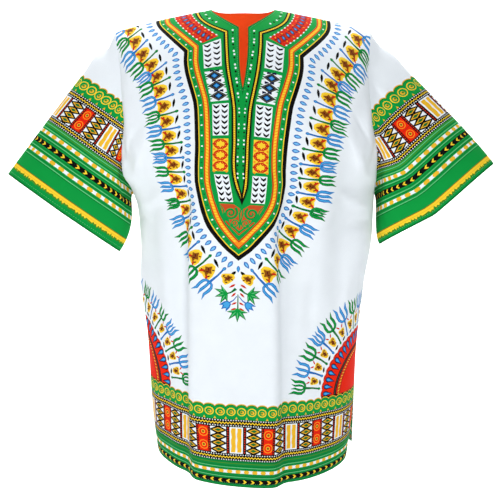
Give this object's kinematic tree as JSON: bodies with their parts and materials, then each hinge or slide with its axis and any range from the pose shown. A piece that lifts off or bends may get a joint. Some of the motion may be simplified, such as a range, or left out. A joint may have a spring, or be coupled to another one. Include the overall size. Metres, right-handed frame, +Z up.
{
  "type": "dashiki shirt",
  "caption": "Loose printed cotton dashiki pullover with short wide sleeves, a slit neck and side vents, hollow and open as it is worn.",
  "frame": {"origin": "middle of the shoulder line, level with the two sides of the neck, where the wearer's shoulders carry the shirt", "axes": "+Z up, the front faces -Y, +X is the viewer's right when the front is seen"},
  "size_m": [0.8175, 0.3251, 0.7807],
  "materials": {
    "printed_cotton_front": "plain woven printed cotton, soft low sheen",
    "printed_cotton_back": "plain woven printed cotton, soft low sheen",
    "printed_cotton_sleeves": "plain woven printed cotton, soft low sheen"
  },
  "bodies": {
    "root": {"front_panel": "printed_cotton_front", "back_panel": "printed_cotton_back", "sleeve_left": "printed_cotton_sleeves", "sleeve_right": "printed_cotton_sleeves"}
  },
  "joints": []
}
